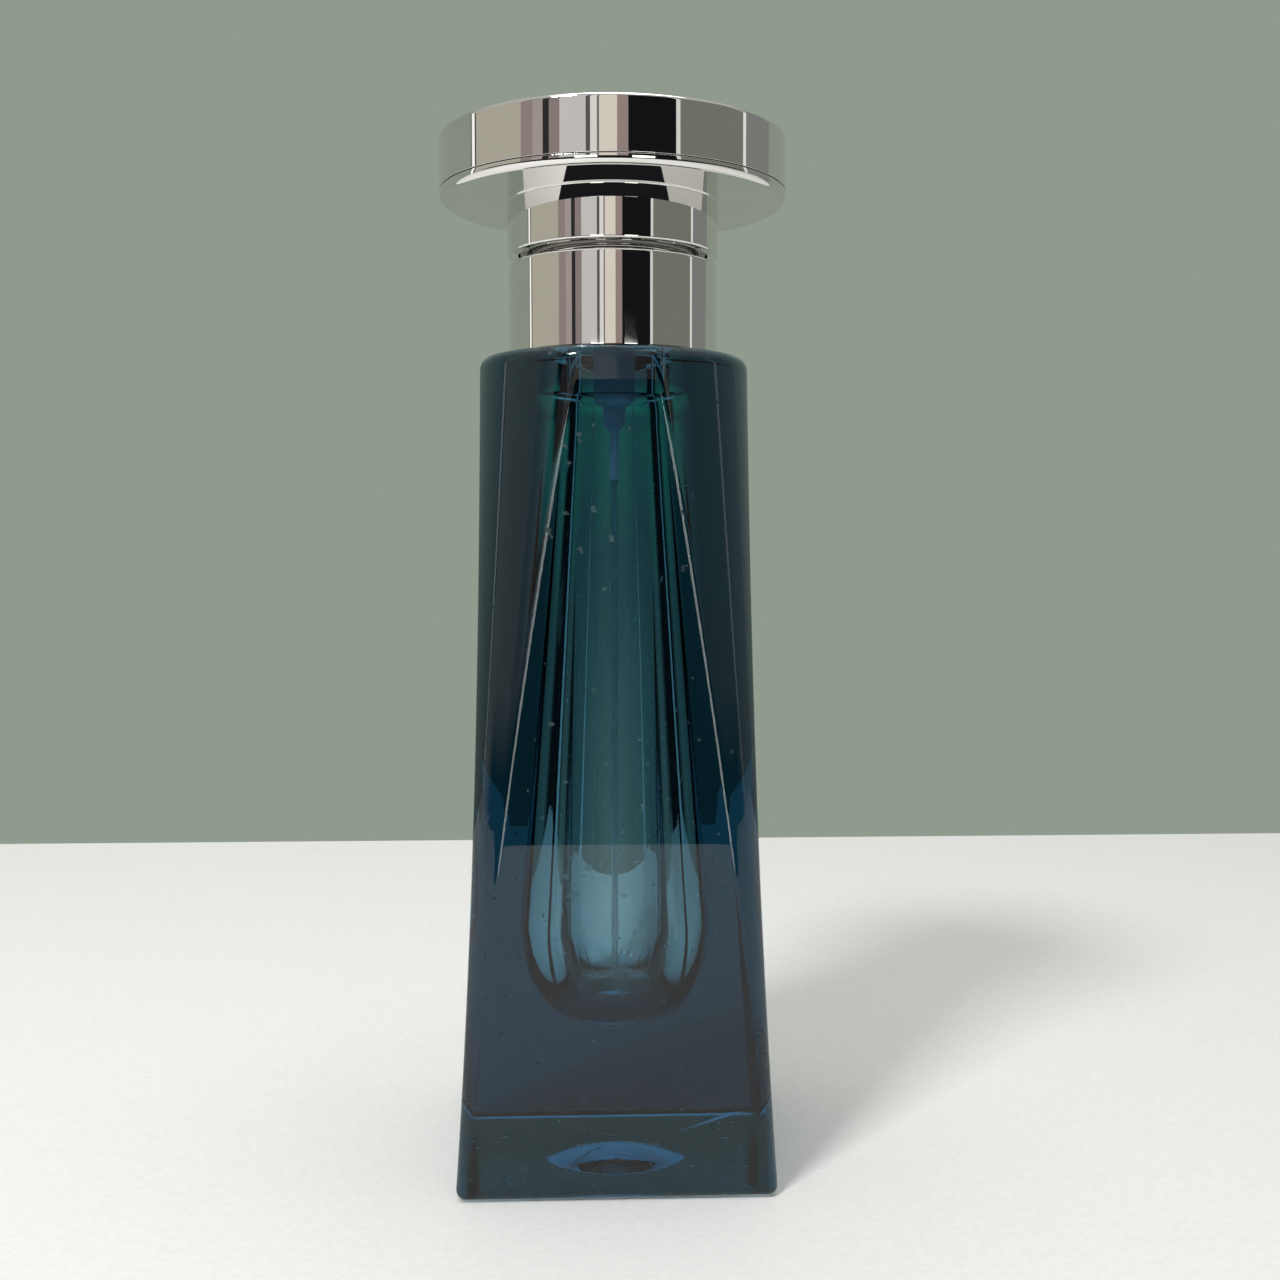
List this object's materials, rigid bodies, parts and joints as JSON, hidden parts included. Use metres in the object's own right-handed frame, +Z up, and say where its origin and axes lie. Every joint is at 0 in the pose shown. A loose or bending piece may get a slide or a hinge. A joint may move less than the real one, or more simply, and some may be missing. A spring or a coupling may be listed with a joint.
{
  "type": "fragrance spray bottle",
  "caption": "Tall tinted glass bottle tapering from a square base to a round shoulder, with a polished collar, a fine-mist pump under it and a lift-off cap shaped like a thick disc.",
  "frame": {"origin": "centre of the base, on the surface the bottle stands on", "axes": "+Z up along the bottle and the pump, -Y out of the front facet and the spray nozzle, +X to the right seen from the front"},
  "size_m": [0.049, 0.049, 0.1444],
  "materials": {
    "tinted_glass": "clear glass with a steel-blue lacquer outside",
    "polished_metal": "mirror polished",
    "silver_metal": "polished",
    "aluminium": "satin",
    "steel": "satin",
    "white_plastic": "satin moulded",
    "clear_plastic": "translucent",
    "grey_rubber": "matte"
  },
  "bodies": {
    "bottle": {"glass_bottle": "tinted_glass", "neck_gasket": "grey_rubber", "pump_housing": "clear_plastic", "dip_tube": "clear_plastic", "crimp_ferrule": "aluminium", "stem_gland": "white_plastic", "stem_seal": "grey_rubber", "return_spring": "steel", "collar_shell": "polished_metal", "collar_insert": "white_plastic"},
    "stem": {"pump_stem": "white_plastic", "pump_piston": "white_plastic"},
    "button": {"actuator_core": "white_plastic", "actuator_cover": "silver_metal", "spray_insert": "white_plastic"},
    "ball": {"inlet_ball": "steel"},
    "cap": {"cap_top_shell": "polished_metal", "cap_base_sleeve": "polished_metal", "cap_weight_ring": "steel", "cap_liner": "white_plastic"}
  },
  "joints": [
    {"name": "spray_press", "type": "slide", "parent": "bottle", "child": "stem", "axis": [0, 0, -1], "range_m": [0, 0.0045], "stiffness_N_per_m": 1500, "springref_m": -0.004, "deforming": ["return_spring"]},
    {"name": "button_turn", "type": "hinge", "parent": "stem", "child": "button", "pos_m": [0, 0, 0.135], "axis": [0, 0, 1], "continuous": true},
    {"name": "ball_lift", "type": "slide", "parent": "bottle", "child": "ball", "axis": [0, 0, 1], "range_m": [0, 0.0008]},
    {"name": "cap_lift", "type": "slide", "parent": "bottle", "child": "cap", "axis": [0, 0, 1], "range_m": [0, 0.03]}
  ]
}
